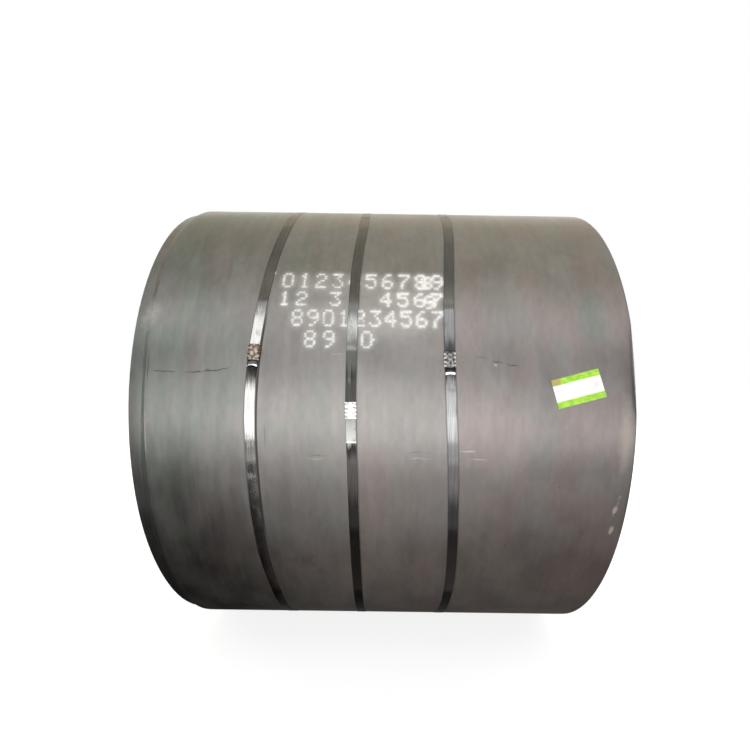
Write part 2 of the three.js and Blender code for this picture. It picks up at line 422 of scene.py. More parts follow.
def tautRadius(sealAngle):
    # a taut strap runs straight across the step at the strip's tail and over its seal's legs
    half = along(seal["length"] / 2)
    angles = np.append(np.arange(0, 360, strap["tautStep"]), coil["tailAngle"])
    angles = np.append(angles, [sealAngle - half, sealAngle + half])
    radii = outerRadius(angles) + strap["clearance"]
    radii[-2:] += strap["clearance"] + seal["wall"]
    points = sorted(map(tuple, onAxis(0, angles, radii)[:, 1:] - (0, axisHeight)))

    def halfHull(ordered):
        chain = []
        for point in np.array(ordered):
            while len(chain) > 1 and cross(chain[-1] - chain[-2], point - chain[-2]) <= 0:
                chain.pop()
            chain.append(point)
        return chain[:-1]

    hull = np.array(halfHull(points) + halfHull(points[::-1]))
    hullAngles = np.degrees(np.arctan2(hull[:, 1], hull[:, 0])) % 360
    order = np.argsort(hullAngles)
    hull, hullAngles = hull[order], hullAngles[order]

    def radiusAt(angle):
        angle = np.asarray(angle, float) % 360
        i = (np.searchsorted(hullAngles, angle, side="right") - 1) % len(hull)
        start, edge = hull[i], hull[(i + 1) % len(hull)] - hull[i]
        direction = np.stack([np.cos(np.radians(angle)), np.sin(np.radians(angle))], axis=-1)
        return cross(start, edge) / cross(direction, edge)

    return radiusAt


def strapSection():
    # points round the strap: across from its middle, and height
    half, thick, bend = strap["width"] / 2, strap["thickness"], strap["edgeRound"]
    flat = half - bend
    top = [(-flat + 2 * flat * i / strap["columns"], thick) for i in range(strap["columns"] + 1)]
    return top + [(half, thick - bend), (half, bend), (flat, 0), (-flat, 0),
                  (-half, bend), (-half, thick - bend)]


def makeStrap(name, values, material):
    # starts under its own upper end, goes down the front and round, and laps itself at the seal
    start = values["sealAngle"] - along(values["lowerEndAbove"])
    end = values["sealAngle"] + 360 + along(values["upperEndBelow"])
    fine, coarse = strap["steps"]
    first, last = (start + span for span in strap["between"])
    stops = np.concatenate([np.arange(start, first, fine), np.arange(first, last, coarse),
                            np.arange(last, end, fine), [end]])
    band, across, height, share = addRolledGrid(strapSection(), len(stops) - 1)
    angle = stops[np.rint((1 - share) * (len(stops) - 1)).astype(int)]

    lapStart = start + 360
    rampStart, rampEnd = strap["ramp"]
    climb = easeBetween(angle, lapStart - rampStart, lapStart - rampEnd)
    sealEdge = values["sealAngle"] + 360 + along(seal["length"] / 2)
    loose = np.clip((angle - sealEdge) / (end - sealEdge), 0, 1)
    crown = 1 - (across / (strap["width"] / 2)) ** 2
    height = height + climb * (strap["thickness"] + strap["clearance"])
    height = height + loose**2 * values["endLift"] + loose * values["endCrown"] * crown
    radius = tautRadius(values["sealAngle"])(angle) + height
    x = closedLine(values["line"])(angle) + across
    writePoints(band, onAxis(x, angle - loose * along(values["endCurve"]) * crown, radius))

    closeRoll(band)
    faceOutwards(band)
    smoothShade(band, 40)
    finishPiece(band, name + "Strap", material, "strap_" + name)


def crimpSeal(sleeve, height, crimp):
    # at every notch a three-cornered tab of the edge is bent down, and the metal between the
    # tabs is left standing a little proud
    width, length = seal["width"], seal["length"]
    points = readPoints(sleeve)
    share = np.clip(points[:, 2] / height, 0, 1)
    bent = np.zeros(len(points))
    for side in (-1, 1):
        inward = np.clip(width / 2 - points[:, 0] * side, 0, None) / seal["notchReach"]
        for i in range(seal["notches"]):
            y = length * ((i + 0.5) / seal["notches"] - 0.5)
            away = np.abs(points[:, 1] - y - side * seal["notchLength"] * seal["stagger"])
            inside = away < seal["notchLength"] / 2 * (seal["notchBase"] - inward)
            bent = np.maximum(bent, (1 - inward) * inside)
    bent *= share
    proud = np.cos(points[:, 0] / width * math.pi) * (bent == 0) * share
    points[:, 2] += seal["bulge"] * proud - seal["notchDepth"] * crimp * bent
    points[:, 0] *= 1 - seal["pinch"] * crimp * bent
    writePoints(sleeve, points)
    writeAttribute(sleeve, "tab", bent)


def makeSeal(name, values, material):
    # modelled flat at the origin: across along X, up the coil along Y, outwards along Z
    width, length, wall = seal["width"], seal["length"], seal["wall"]
    height = 2 * wall + 2 * strap["thickness"] + 4 * strap["clearance"]
    deselectAll()
    bpy.ops.mesh.primitive_cube_add(size=1, location=(0, 0, height / 2),
                                    scale=(width, length, height))
    sleeve = bpy.context.object
    bpy.ops.object.transform_apply(location=True, rotation=True, scale=True)
    selectFaces(sleeve, lambda face: abs(face.normal.y) > 0.9)
    bpy.ops.mesh.delete(type="ONLY_FACE")
    selectEdges(sleeve, lambda way: abs(way.y) > length / 2)
    bpy.ops.mesh.bevel(offset=seal["cornerRadius"], segments=3, affect="EDGES")
    selectEdges(sleeve, lambda way: abs(way.y) > length / 2)
    bpy.ops.mesh.subdivide(number_cuts=seal["rows"] - 1)
    selectEdges(sleeve, lambda way: abs(way.x) > width / 2)
    bpy.ops.mesh.subdivide(number_cuts=seal["columns"] - 1)
    faceOutwards(sleeve)
    # the slit between the two legs
    selectFaces(sleeve, lambda face: face.normal.z < -0.9 and abs(face.center.x) < width / 100)
    bpy.ops.mesh.delete(type="FACE")
    endEdit()
    crimpSeal(sleeve, height, values["crimp"])
    addModifier(sleeve, "SOLIDIFY", thickness=wall, offset=-1)

    # into place
    angle = values["sealAngle"]
    half = along(length / 2)
    above, below = closedLine(values["line"])(np.array([angle - half, angle + half]))
    slant = Matrix.Rotation(math.atan2(below - above, length), 4, "Z")
    foot = onAxis((above + below) / 2, angle, float(outerRadius(angle)) + strap["clearance"])
    up = Vector((0, math.sin(math.radians(angle)), -math.cos(math.radians(angle))))
    out = Vector((0, -up.z, up.y))
    axes = Matrix((Vector((1, 0, 0)), up, out)).transposed().to_4x4()
    sleeve.matrix_world = Matrix.Translation(Vector(foot)) @ axes @ slant
    smoothShade(sleeve, 35)
    finishPiece(sleeve, name + "Seal", material, "seal_" + name)


label = {
    "width": 0.150,
    "height": 0.090,
    "thickness": 0.00025,
    "x": 0.597,
    "angle": 164.4,
    "tilt": 15.4,
    "lift": 0.0004,
    "cornerLifts": ((-1, 1, 0.0016), (1, -1, 0.0028), (1, 1, 0.0012), (-1, -1, 0.0008)),
    "cornerReach": 0.028,
    "ripple": 0.00012,
    "rippleTurns": (17, 9),  # radians over the width and the height
}


def makeLabel(material):
    paper, flat = addGrid(30, 18)
    right, up = flat[:, 0] * label["width"], flat[:, 1] * label["height"]
    tilt = math.radians(label["tilt"])
    x = label["x"] + right * math.cos(tilt) - up * math.sin(tilt)
    angle = label["angle"] - along(1) * (right * math.sin(tilt) + up * math.cos(tilt))
    lift = label["lift"] + label["ripple"] * np.sin(flat[:, :2] @ label["rippleTurns"])
    for sideX, sideY, height in label["cornerLifts"]:
        away = np.hypot(right * sideX - label["width"] / 2, up * sideY - label["height"] / 2)
        lift += height * np.clip(1 - away / label["cornerReach"], 0, 1) ** 2
    writePoints(paper, onAxis(x, angle, outerRadius(angle) + lift))
    addModifier(paper, "SOLIDIFY", thickness=label["thickness"], offset=0)
    smoothShade(paper, 50)
    finishPiece(paper, "paperLabel", material, "label")


stencil = {
    "cell": 0.0025,
    "lift": 0.00012,
    "thickness": 0.0004,
    "thinnest": 0.045,  # paint that covers less than this is left out
    "strokeReach": 0.0045,
    "strokeCover": 0.95,
    "mistReach": 0.0130,
    "mistCover": 0.090,
    "unevenness": 0.22,
    "scatter": 0.0005,
    "weights": (0.88, 0.30),  # how heavy it is on the left, and how much more on the right
    "weightEase": (-0.15, 0.12),
    "characterWidth": 0.037,
    "dotWidth": 0.009,
    "dotInset": 0.28,  # degrees from the top and bottom of a line of text to its dots
    # text, x of its left side, pitch of its characters, angles of its top and bottom
    "rows": (
        ("0123456789", -0.327, 0.0534, 139.5, 143.5),
        ("12 3  4567", -0.331, 0.0534, 144.4, 147.9),
        ("8901234567", -0.286, 0.0485, 148.7, 152.5),
        ("89 0", -0.243, 0.0583, 153.3, 157.0),
        ("8", 0.120, 0.0534, 140.0, 143.4),  # painted twice
        ("9", 0.128, 0.0534, 145.0, 148.3),
    ),
    "drips": ((-0.357, 139.6), (-0.369, 145.2), (-0.060, 151.2), (-0.062, 150.0), (-0.028, 155.2)),
    "area": (-0.40, 0.24, 137.6, 158.9),
}

digitDots = {
    "0": "01110 10001 10001 10001 10001 10001 01110",
    "1": "00100 01100 00100 00100 00100 00100 01110",
    "2": "01110 10001 00001 00110 01000 10000 11111",
    "3": "11111 00010 00100 00010 00001 10001 01110",
    "4": "00010 00110 01010 10010 11111 00010 00010",
    "5": "11111 10000 11110 00001 00001 10001 01110",
    "6": "00110 01000 10000 11110 10001 10001 01110",
    "7": "11111 00001 00010 00100 01000 01000 01000",
    "8": "01110 10001 10001 01110 10001 10001 01110",
    "9": "01110 10001 10001 01111 00001 00010 01100",
}


def stencilDots():
    # every dot of paint, as (x, angle)
    places = []
    dotsAcross, inset = stencil["characterWidth"] - stencil["dotWidth"], stencil["dotInset"]
    for text, left, pitchAcross, top, bottom in stencil["rows"]:
        for number, digit in enumerate(text):
            x = left + number * pitchAcross + stencil["dotWidth"] / 2
            for line, dots in enumerate(digitDots.get(digit, "").split()):
                angle = top + inset + (bottom - top - 2 * inset) * line / 6
                places += [(x + dotsAcross * column / 4, angle)
                           for column, dot in enumerate(dots) if dot == "1"]
    return places + list(stencil["drips"])


def makeStencil(material):
    # a thin skin over the whole area, and how well the paint covers at each of its points
    hand = random.Random(4)
    left, right, top, bottom = stencil["area"]
    columns = round((right - left) / stencil["cell"])
    rows = round((bottom - top) / along(stencil["cell"]))
    paint, flat = addGrid(columns, rows)
    x = left + (flat[:, 0] + 0.5) * (right - left)
    angle = bottom + (flat[:, 1] + 0.5) * (top - bottom)
    light, more = stencil["weights"]
    bare = np.ones(len(flat))
    for dotX, dotAngle in stencilDots():
        dotX += hand.uniform(-1, 1) * stencil["scatter"]
        away = np.hypot(x - dotX, (angle - dotAngle) / along(1))
        heavy = light + more * easeBetween(dotX, *stencil["weightEase"])
        reach = stencil["strokeReach"] * heavy * (1 + stencil["unevenness"] * hand.uniform(-1, 1))
        stroke = stencil["strokeCover"] * np.exp(-(away / reach) ** 2)
        mist = stencil["mistCover"] * heavy * np.exp(-(away / stencil["mistReach"]) ** 2)
        bare *= (1 - stroke) * (1 - mist)
    writePoints(paint, onAxis(x, angle, outerRadius(angle) + stencil["lift"]))
    writeAttribute(paint, "cover", 1 - bare)

    # only the painted cells stay
    thin = (1 - bare) < stencil["thinnest"]
    selectFaces(paint, lambda face: all(thin[i] for i in face.vertices))
    bpy.ops.mesh.delete(type="FACE")
    faceOutwards(paint)
    addModifier(paint, "SOLIDIFY", thickness=stencil["thickness"], offset=-1)
    finishPiece(paint, "stencilPaint", material)


def addNode(tree, kind, inputs=None, **settings):
    # an input is given a value or another node's output
    node = tree.nodes.new("ShaderNode" + kind)
    for name, value in settings.items():
        setattr(node, name, value)
    for name, value in (inputs or {}).items():
        if isinstance(value, bpy.types.NodeSocket):
            tree.links.new(value, node.inputs[name])
        else:
            node.inputs[name].default_value = value
    return node


def calculate(tree, operation, first, second=0.0, third=0.0):
    return addNode(tree, "Math", {0: first, 1: second, 2: third}, operation=operation).outputs[0]


def multiply(tree, first, second, added=0.0):
    return calculate(tree, "MULTIPLY_ADD", first, second, added)


def subtract(tree, first, second):
    return calculate(tree, "SUBTRACT", first, second)


def distance(tree, first, second):
    return calculate(tree, "ABSOLUTE", subtract(tree, first, second))


def strongest(tree, masks):
    total = masks[0]
    for mask in masks[1:]:
        total = calculate(tree, "MAXIMUM", total, mask)
    return total


def onVector(tree, operation, first, second=(0, 0, 0)):
    node = addNode(tree, "VectorMath", {0: first, 1: second}, operation=operation)
    return node.outputs["Value" if operation == "LENGTH" else 0]


def remap(tree, value, low, high, newLow=0.0, newHigh=1.0, way="SMOOTHSTEP"):
    ends = {"Value": value, "From Min": low, "From Max": high, "To Min": newLow, "To Max": newHigh}
    return addNode(tree, "MapRange", ends, interpolation_type=way).outputs[0]


def mixColours(tree, factor, first, second, way="MIX"):
    first, second = ((*colour, 1) if isinstance(colour, tuple) else colour
                     for colour in (first, second))
    return addNode(tree, "Mix", {0: factor, 6: first, 7: second},
                   data_type="RGBA", blend_type=way).outputs[2]


def addCurve(tree, value, knots, handles=None):
    # a curve through the knots, of which the first lies at 0 and the last at 1
    curve = addNode(tree, "FloatCurve", {"Value": value})
    points = curve.mapping.curves[0].points
    for i in range(len(knots) - 2):
        points.new((i + 1) / len(knots), 0)
    for point, knot in zip(points, knots):
        point.location = knot
        if handles:
            point.handle_type = handles
    curve.mapping.update()
    return curve.outputs[0]


def objectPlace(tree):
    return addNode(tree, "TexCoord").outputs["Object"]


def uvPlace(tree):
    return addNode(tree, "SeparateXYZ", {0: addNode(tree, "UVMap").outputs[0]}).outputs


def newGroup(name, inputs, outputs):
    tree = bpy.data.node_groups.new(name, "ShaderNodeTree")
    for title, kind, value in inputs:
        socket = tree.interface.new_socket(title, in_out="INPUT", socket_type="NodeSocket" + kind)
        socket.default_value = value
    for title, kind in outputs:
        tree.interface.new_socket(title, in_out="OUTPUT", socket_type="NodeSocket" + kind)
    return tree, tree.nodes.new("NodeGroupInput").outputs, tree.nodes.new("NodeGroupOutput").inputs


def useGroup(tree, group, **inputs):
    return addNode(tree, "Group", inputs, node_tree=group).outputs


def newMaterial(name, **fixed):
    material = bpy.data.materials.new(name)
    material.use_nodes = True
    tree = material.node_tree
    shader = tree.nodes["Principled BSDF"]
    for title, value in fixed.items():
        shader.inputs[title.replace("_", " ")].default_value = value
    return material, tree, shader


def feed(tree, shader, **outputs):
    for title, output in outputs.items():
        tree.links.new(output, shader.inputs[title.replace("_", " ")])


def makeUnrolled():
    # where a point lies on the coil's face laid out flat: metres along the axis, and metres down
    # the front from the middle of its height
    tree, inputs, outputs = newGroup("unrolled", [], [("Place", "Vector"), ("Angle", "Float")])
    parts = addNode(tree, "SeparateXYZ", {0: objectPlace(tree)}).outputs
    height = subtract(tree, parts["Z"], axisHeight)
    fromFront = calculate(tree, "ARCTAN2", height, multiply(tree, parts["Y"], -1.0))
    down = multiply(tree, fromFront, -stripRadius(0))
    flat = addNode(tree, "CombineXYZ", {0: parts["X"], 1: down}).outputs[0]
    tree.links.new(flat, outputs["Place"])
    tree.links.new(multiply(tree, fromFront, -180 / math.pi, 180.0), outputs["Angle"])
    return tree


def makeGrain():
    # cloudy noise of a given size along the coil's axis and round it; Low to High becomes 0 to 1
    tree, inputs, outputs = newGroup("grain", [
        ("Across", "Float", 0.05), ("Around", "Float", 0.5), ("Detail", "Float", 3.0),
        ("Low", "Float", 0.4), ("High", "Float", 0.6), ("Seed", "Float", 0.0)], [("Mask", "Float")])
    around = inputs["Around"]
    size = addNode(tree, "CombineXYZ", {0: inputs["Across"], 1: around, 2: around}).outputs[0]
    offset = addNode(tree, "CombineXYZ", {0: inputs["Seed"], 1: inputs["Seed"]}).outputs[0]
    moved = onVector(tree, "ADD", onVector(tree, "DIVIDE", objectPlace(tree), size), offset)
    cloud = addNode(tree, "TexNoise", {"Vector": moved, "Scale": 1.0, "Detail": inputs["Detail"]})
    mask = remap(tree, cloud.outputs[0], inputs["Low"], inputs["High"])
    tree.links.new(mask, outputs["Mask"])
    return tree


def makeSpecks():
    # scattered round spots; Share is how many of the places have one
    tree, inputs, outputs = newGroup("specks", [
        ("Spacing", "Float", 0.05), ("Radius", "Float", 0.1), ("Share", "Float", 0.5),
        ("Seed", "Float", 0.0)], [("Mask", "Float")])
    moved = onVector(tree, "ADD", objectPlace(tree), inputs["Seed"])
    scale = calculate(tree, "DIVIDE", 1.0, inputs["Spacing"])
    cells = addNode(tree, "TexVoronoi", {"Vector": moved, "Scale": scale})
    chance = addNode(tree, "SeparateColor", {0: cells.outputs["Color"]}).outputs[0]
    lit = calculate(tree, "LESS_THAN", chance, inputs["Share"])
    inner = multiply(tree, inputs["Radius"], 0.5)
    spot = remap(tree, cells.outputs["Distance"], inputs["Radius"], inner)
    tree.links.new(multiply(tree, lit, spot), outputs["Mask"])
    return tree


def makeMark():
    # one mark on the laid-out face, an ellipse with a soft and ragged edge
    tree, inputs, outputs = newGroup("mark", [
        ("Place", "Vector", (0, 0, 0)), ("Cloud", "Float", 0.5), ("Middle", "Vector", (0, 0, 0)),
        ("Size", "Vector", (0.1, 0.01, 1)), ("Tilt", "Float", 0.0), ("Softness", "Float", 0.5),
        ("Ragged", "Float", 0.5), ("Strength", "Float", 1.0)], [("Mask", "Float")])
    away = onVector(tree, "SUBTRACT", inputs["Place"], inputs["Middle"])
    turned = addNode(tree, "VectorRotate", {"Vector": away, "Angle": inputs["Tilt"]},
                     rotation_type="Z_AXIS").outputs[0]
    reach = onVector(tree, "LENGTH", onVector(tree, "DIVIDE", turned, inputs["Size"]))
    reach = multiply(tree, subtract(tree, inputs["Cloud"], 0.5), inputs["Ragged"], reach)
    spot = remap(tree, reach, 1.0, subtract(tree, 1.0, inputs["Softness"]))
    tree.links.new(multiply(tree, spot, inputs["Strength"]), outputs["Mask"])
    return tree


unrolled = makeUnrolled()
grain = makeGrain()
specks = makeSpecks()
mark = makeMark()


def addClouds(tree, clouds):
    # a cloud: size along the axis and round it, what becomes 0 and 1, seed, detail
    titles = ("Across", "Around", "Low", "High", "Seed", "Detail")
    return {name: useGroup(tree, grain, **dict(zip(titles, values)))[0]
            for name, values in clouds.items()}


def pile(tree, clouds, amounts, base=0.0):
    # each cloud adds up to its amount to the base
    for name, amount in amounts.items():
        base = multiply(tree, clouds[name], amount, base)
    return base


def vary(tree, clouds, amounts, base=0.0):
    # each cloud moves the base to both sides, by its amount in all
    for name, amount in amounts.items():
        base = multiply(tree, subtract(tree, clouds[name], 0.5), amount, base)
    return base


def relief(tree, clouds, heights):
    height = pile(tree, clouds, heights)
    return addNode(tree, "Bump", {"Height": height, "Strength": 1.0, "Distance": 1.0}).outputs[0]


def addMarks(tree, place, cloud, marks):
    return strongest(tree, [
        useGroup(tree, mark, Place=place, Cloud=cloud, Size=(length / 2, height / 2, 1),
                 Middle=(x, math.radians(angle - 180) * stripRadius(0), 0),
                 Tilt=-math.radians(tilt), Softness=softness, Ragged=ragged, Strength=strength)[0]
        for x, angle, length, height, tilt, strength, softness, ragged in marks])


def addStrapLine(tree, x, angle, name, offset, width, strength, limits):
    # a line that follows a strap, offset from its middle, and fades out at the two angles
    low, high, count, fadeIn, fadeOut = 100, 260, 16, 4, 6
    line = closedLine(straps[name]["line"])
    knots = [(i / count, float(line(low + (high - low) * i / count)) + 0.5)
             for i in range(count + 1)]
    bends = addCurve(tree, remap(tree, angle, low, high, way="LINEAR"), knots)
    away = distance(tree, x, subtract(tree, bends, 0.5 - offset))
    near = remap(tree, away, width / 2, width / 5)
    start = remap(tree, angle, limits[0] - fadeIn, limits[0] + fadeIn)
    stop = remap(tree, angle, limits[1] + fadeOut, limits[1] - fadeOut)
    return multiply(tree, multiply(tree, near, multiply(tree, start, stop)), strength)


millScale = {
    "colour": (0.245, 0.236, 0.228),
    "green": (0.90, 1.00, 0.955),  # what the tinted patches multiply it by
    "mauve": (1.05, 0.962, 0.962),
    "tintByX": 0.9,  # greenish to the left and mauve to the right
    "tintByCloud": {"patch": 0.9},
    "greenFrom": (-0.25, -0.85),
    "mauveFrom": (0.20, 0.90),
    "clouds": {
        "rough": (0.022, 0.022, 0.0, 1.0, 7.0, 4.0),
        "sway": (0.045, 0.045, 0.0, 1.0, 9.0, 2.0),
        "patch": (0.11, 0.24, 0.32, 0.68, 3.0, 3.0),
        "wide": (0.040, 0.40, 0.38, 0.62, 11.0, 2.0),
        "fine": (0.009, 0.30, 0.3, 0.7, 17.0, 3.0),
        "cloud": (0.12, 0.16, 0.3, 0.7, 23.0, 4.0),
        "mottle": (0.016, 0.040, 0.3, 0.7, 29.0, 2.0),
        "wave": (0.25, 0.30, 0.0, 1.0, 31.0, 1.0),
        "skin": (0.0035, 0.0060, 0.2, 0.8, 37.0, 2.0),
    },
    "streaks": {"wide": 0.11, "fine": 0.03},  # as the strip was rolled
    "streaksByX": (0.1, -0.6, 0.45, 1.0),  # from x to x, they get so much stronger
    "patches": {"cloud": 0.16, "mottle": 0.08},
    "lowLeftShade": -0.32,  # painted shade: darker low down on the left
    "lowLeftShadeX": (-0.05, -0.6),
    "lowLeftShadeAngles": (180, 206),
    "sway": {"sway": 0.014},  # of the marks, up and down
    "roughness": 0.43,
    "roughnessBy": {"cloud": 0.07, "fine": 0.03},
    "markRoughness": 0.25,
    "relief": {"wave": 0.0012, "mottle": 0.00005, "skin": 0.00003},
    # spots of rust: spacing, radius, share, seed, strength
    "spots": ((0.075, 0.07, 0.18, 2.0, 0.45), (0.022, 0.09, 0.12, 5.0, 0.30)),
    # the colour of the overspray, and of a painted highlight
    "oversprayAndHighlightColour": (0.60, 0.58, 0.55),
    "rust": (0.15, 0.095, 0.055),
    # the colour of scratches, and of painted shadow lines beside the straps and wrap edges
    "scratchAndShadow": (0.045, 0.043, 0.04),
    # the colour of the pale lines: rubbed marks, and a painted highlight along the left edge
    "rubbed": (0.60, 0.54, 0.48),
    # marks: along the axis, angle, length, height, tilt, strength, softness, raggedness
    "mauvePatches": (
        (0.34, 173.5, 0.36, 0.40, 0, 1.4, 0.9, 0.9),
        (-0.02, 185, 0.20, 0.50, 0, 1.0, 0.9, 0.9),
    ),
    "greenPatches": (
        (0.66, 150, 0.16, 0.34, 0, 0.8, 0.9, 0.9),
        (-0.50, 165, 0.16, 0.90, 0, 0.7, 0.9, 0.9),
    ),
    "oversprayPatchesAndHighlight": (
        (-0.075, 142.6, 0.66, 0.120, 0, 0.20, 0.5, 0.4),
        (-0.055, 149.2, 0.62, 0.150, 0, 0.14, 0.7, 0.5),
        (0.060, 145.5, 0.36, 0.190, 0, 0.27, 0.9, 0.5),
        (0.020, 151.8, 0.40, 0.150, 0, 0.27, 0.9, 0.5),
        # a painted highlight where a dent at the left margin catches the light
        (-0.728, 150.2, 0.080, 0.140, 0, 0.50, 0.95, 0.6),
    ),
    "scratchesAndEdgeShadows": (
        (-0.657, 162.1, 0.130, 0.0060, 0.5, 0.60, 0.9, 0.9),
        (-0.571, 162.1, 0.080, 0.0065, -3.5, 0.7, 0.9, 0.9),
        (-0.505, 161.7, 0.120, 0.0085, -6, 0.75, 0.9, 0.9),
        (0.306, 158.6, 0.060, 0.0045, 14, 0.5, 0.9, 0.9),
        (0.351, 159.3, 0.062, 0.0060, 11, 0.6, 0.9, 0.9),
        (0.402, 160.0, 0.075, 0.0055, 15, 0.6, 0.9, 0.9),
        (-0.197, 178.0, 0.080, 0.0055, 1, 0.50, 0.9, 0.9),
        (-0.354, 174.2, 0.006, 0.120, 0, 0.30, 0.9, 0.9),
        (-0.252, 202.5, 0.110, 0.120, 0, 0.30, 0.9, 0.7),
        (-0.700, 177.0, 0.050, 0.260, 0, 0.16, 0.9, 0.7),
        # painted shadow lines along the left edges of the two outermost wraps
        (-0.7215, 160.8, 0.005, 0.170, 0, 0.75, 0.8, 0.5),
        (-0.7110, 161.0, 0.004, 0.160, 0.5, 0.60, 0.8, 0.5),
        (0.110, 177.2, 0.110, 0.0055, 0, 0.25, 0.9, 0.9),
    ),
    "paleLinesAndEdgeHighlight": (
        (0.115, 178.5, 0.100, 0.0050, 0, 0.40, 0.9, 0.5),
        (0.266, 176.9, 0.080, 0.0070, 0, 0.60, 0.9, 0.5),
        (0.300, 178.4, 0.070, 0.0050, 0, 0.55, 0.9, 0.5),
        (-0.199, 178.75, 0.075, 0.0050, 0, 0.50, 0.9, 0.5),
        # a painted highlight along the outermost wrap's left edge
        (-0.7165, 174.5, 0.005, 0.200, 0, 0.60, 0.8, 0.8),
        (0.345, 160.0, 0.016, 0.0130, 30, 0.7, 0.9, 1.0),
        (0.744, 173.0, 0.056, 0.340, 0, 0.36, 0.9, 0.5),
        (-0.135, 158.2, 0.050, 0.0050, 0, 0.60, 0.9, 0.8),
        (0.7375, 188.6, 0.016, 0.060, 12, 0.80, 0.7, 1.4),
        (0.7395, 193.3, 0.018, 0.046, 10, 0.80, 0.7, 1.4),
        (0.745, 186.0, 0.009, 0.024, 12, 0.5, 0.8, 1.4),
    ),
    "brownStreaks": (
        (-0.726, 144.0, 0.014, 0.120, 0, 0.7, 0.8, 0.6),
        (-0.470, 136.5, 0.020, 0.014, 0, 0.5, 0.8, 1.5),
        (-0.3900, 158.4, 0.056, 0.064, 0, 0.65, 0.5, 0.6),
        (-0.378, 158.8, 0.020, 0.055, 0, 0.85, 0.5, 1.0),
        (0.2100, 159.3, 0.056, 0.056, 0, 0.35, 0.7, 1.2),
    ),
    # dark lines beside the straps, painted shadow of their edges together with dirt: strap, offset
    # from its middle, width, strength, angles
    "strapShadowAndDirtLines": (
        ("left", 0.0195, 0.0085, 0.90, (150, 196)),
        ("left", -0.0175, 0.0040, 0.35, (110, 214)),
        ("middle", 0.0180, 0.0045, 0.45, (110, 214)),
        ("right", 0.0180, 0.0045, 0.40, (110, 214)),
        ("right", -0.0175, 0.0040, 0.35, (110, 214)),
    ),
}


def makeMillScale():
    material, tree, shader = newMaterial("millScale", Metallic=1.0)
    values = millScale
    clouds = addClouds(tree, values["clouds"])
    laidOut = useGroup(tree, unrolled)
    place, angle = laidOut["Place"], laidOut["Angle"]
    x = addNode(tree, "SeparateXYZ", {0: place}).outputs[0]
    sway = addNode(tree, "CombineXYZ", {1: vary(tree, clouds, values["sway"])}).outputs[0]
    place = onVector(tree, "ADD", place, sway)

    def marked(name):
        return addMarks(tree, place, clouds["rough"], values[name])

    # a grey skin of scale, tinted in soft patches
    leaning = multiply(tree, x, values["tintByX"], vary(tree, clouds, values["tintByCloud"]))
    green = strongest(tree, [remap(tree, leaning, *values["greenFrom"]), marked("greenPatches")])
    mauve = strongest(tree, [remap(tree, leaning, *values["mauveFrom"]), marked("mauvePatches")])
    mauve = subtract(tree, mauve, green)
    colour = mixColours(tree, mauve, values["colour"], values["mauve"], "MULTIPLY")
    colour = mixColours(tree, green, colour, values["green"], "MULTIPLY")

    # its brightness: streaks, cloudy patches, and painted shade low down on the left
    streaks = vary(tree, clouds, values["streaks"])
    streaks = multiply(tree, streaks, remap(tree, x, *values["streaksByX"]), 1.0)
    brightness = vary(tree, clouds, values["patches"], streaks)
    lowLeftShade = remap(tree, x, *values["lowLeftShadeX"])
    lowLeftShade = multiply(tree, lowLeftShade, remap(tree, angle, *values["lowLeftShadeAngles"]))
    brightness = multiply(tree, lowLeftShade, values["lowLeftShade"], brightness)
    colour = mixColours(tree, 1.0, colour, brightness, "MULTIPLY")

    spots = []
    for spacing, radius, share, seed, strength in values["spots"]:
        spot = useGroup(tree, specks, Spacing=spacing, Radius=radius, Share=share, Seed=seed)[0]
        spots.append(multiply(tree, spot, strength))
    # dark lines beside the straps: painted shadow together with dirt
    lines = [addStrapLine(tree, x, angle, *line) for line in values["strapShadowAndDirtLines"]]
    brown = strongest(tree, [*spots, marked("brownStreaks")])
    dark = strongest(tree, [*lines, marked("scratchesAndEdgeShadows")])
    pale, sprayedAndHighlit = marked("paleLinesAndEdgeHighlight"), marked("oversprayPatchesAndHighlight")
    for name, mask in (("rust", brown), ("oversprayAndHighlightColour", sprayedAndHighlit), ("scratchAndShadow", dark),
                       ("rubbed", pale)):
        colour = mixColours(tree, mask, colour, values[name])

    roughness = vary(tree, clouds, values["roughnessBy"], values["roughness"])
    dull = strongest(tree, [pale, sprayedAndHighlit, brown])
    roughness = multiply(tree, dull, values["markRoughness"], roughness)
    feed(tree, shader, Base_Color=colour, Roughness=roughness,
         Normal=relief(tree, clouds, values["relief"]))
    return material


stripEdge = {
    "colour": (0.27, 0.26, 0.25),
    "rust": (0.20, 0.125, 0.075),
    "rustStrength": 0.6,
    "clouds": {
        "scuff": (10.0, 0.11, 0.35, 0.70, 47.0, 4.0),
        "stain": (10.0, 0.16, 0.50, 0.72, 43.0, 5.0),
        "speckle": (0.05, 0.012, 0.3, 0.7, 41.0, 3.0),
    },
    "toneScale": 1.7,  # how often the tone changes in a turn
    "toneEase": (0.3, 0.7),
    "darkest": 0.45,
    "brighter": {"tone": 0.75, "scuff": 0.35, "speckle": 0.25},
    "roughness": 0.48,
    "rougher": {"stain": 0.25, "tone": -0.12},
    "relief": {"speckle": 0.0003},
}


